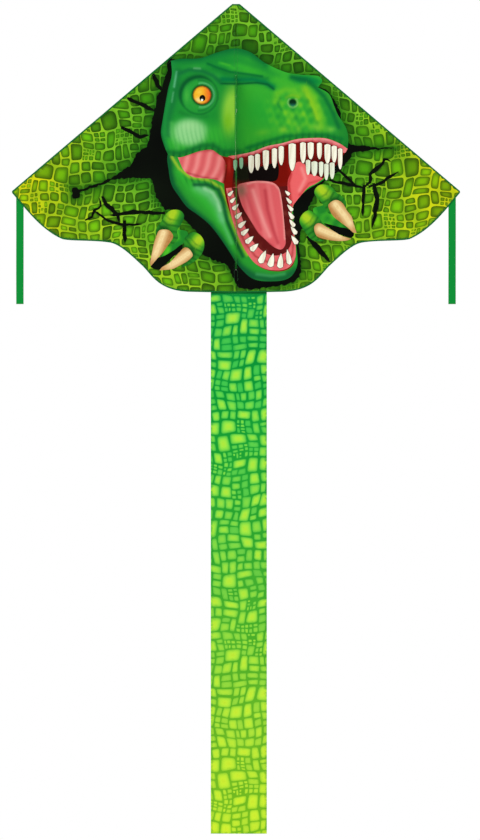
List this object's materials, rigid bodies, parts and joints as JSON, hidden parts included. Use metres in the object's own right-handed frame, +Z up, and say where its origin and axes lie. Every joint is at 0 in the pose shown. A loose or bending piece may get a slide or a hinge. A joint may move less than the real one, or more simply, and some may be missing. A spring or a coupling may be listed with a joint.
{
  "type": "delta kite",
  "caption": "Single-line delta kite with a printed cloth sail on a rod frame, a keel with a tow eyelet, a long tail panel and wing-tip streamers.",
  "frame": {"origin": "centre of the tow eyelet, where the flying line is tied", "axes": "+Z up, from the tail to the nose; +X across the wings and along the eyelet's hole; -Y is the front, which shows the print and the keel"},
  "size_m": [1.2, 0.1828, 2.223],
  "materials": {
    "printed_sail": "satin",
    "printed_tail": "satin",
    "keel_cloth": "satin",
    "sail_trim": "satin",
    "ribbon": "satin",
    "pocket_cloth": "matte",
    "fibreglass": "satin",
    "pvc": "satin",
    "soft_cap": "matte",
    "eyelet_metal": "gloss"
  },
  "bodies": {
    "frame": {"spine_rod": "fibreglass", "spine_cap_top": "soft_cap", "spine_cap_bottom": "soft_cap", "spine_sleeve": "sail_trim", "nose_pocket": "sail_trim", "foot_pocket": "sail_trim", "centre_tube": "pvc", "centre_tie": "sail_trim"},
    "left_wing": {"left_sail": "printed_sail", "left_nose_hem": "sail_trim", "left_sleeve_upper": "sail_trim", "left_sleeve_lower": "sail_trim", "left_trailing_hem": "sail_trim", "left_leading_rod": "fibreglass", "left_leading_cap_upper": "soft_cap", "left_leading_cap_lower": "soft_cap", "left_tip_pocket": "pocket_cloth", "left_connector": "pvc", "left_connector_stops": "pvc", "left_cross_rod": "fibreglass", "left_streamer_tab": "ribbon"},
    "right_wing": {"right_sail": "printed_sail", "right_nose_hem": "sail_trim", "right_sleeve_upper": "sail_trim", "right_sleeve_lower": "sail_trim", "right_trailing_hem": "sail_trim", "right_leading_rod": "fibreglass", "right_leading_cap_upper": "soft_cap", "right_leading_cap_lower": "soft_cap", "right_tip_pocket": "pocket_cloth", "right_connector": "pvc", "right_connector_stops": "pvc", "right_cross_rod": "fibreglass", "right_streamer_tab": "ribbon"},
    "keel": {"keel_panel": "keel_cloth", "keel_binding": "sail_trim", "tow_patch_left": "sail_trim", "tow_patch_right": "sail_trim", "tow_eyelet": "eyelet_metal", "tow_washer": "eyelet_metal"},
    "tail": {"tail_panel": "printed_tail", "tail_header": "sail_trim", "tail_hem_left": "printed_tail", "tail_hem_right": "printed_tail", "tail_foot_hem": "printed_tail"},
    "left_streamer": {"left_streamer": "ribbon"},
    "right_streamer": {"right_streamer": "ribbon"}
  },
  "joints": [
    {"name": "left_wing_fold", "type": "hinge", "parent": "frame", "child": "left_wing", "pos_m": [0, 0.154, 0], "axis": [0, 0, -1], "range_deg": [0, 60], "stiffness_Nm_per_rad": 0.1, "deforming": ["centre_tube"]},
    {"name": "right_wing_fold", "type": "hinge", "parent": "frame", "child": "right_wing", "pos_m": [0, 0.154, 0], "axis": [0, 0, 1], "range_deg": [0, 60], "stiffness_Nm_per_rad": 0.1},
    {"name": "keel_swing", "type": "hinge", "parent": "frame", "child": "keel", "pos_m": [0, 0.149, 0], "axis": [0, 0, 1], "range_deg": [-80, 80]},
    {"name": "tail_swing", "type": "hinge", "parent": "frame", "child": "tail", "pos_m": [0.0075, 0.15, -0.4748], "axis": [1, 0, 0], "range_deg": [-80, 80]},
    {"name": "left_streamer_swing", "type": "hinge", "parent": "left_wing", "child": "left_streamer", "pos_m": [-0.579, 0.1509, -0.2454], "axis": [1, 0, 0], "range_deg": [-70, 70]},
    {"name": "right_streamer_swing", "type": "hinge", "parent": "right_wing", "child": "right_streamer", "pos_m": [0.579, 0.1509, -0.2454], "axis": [1, 0, 0], "range_deg": [-70, 70]}
  ]
}
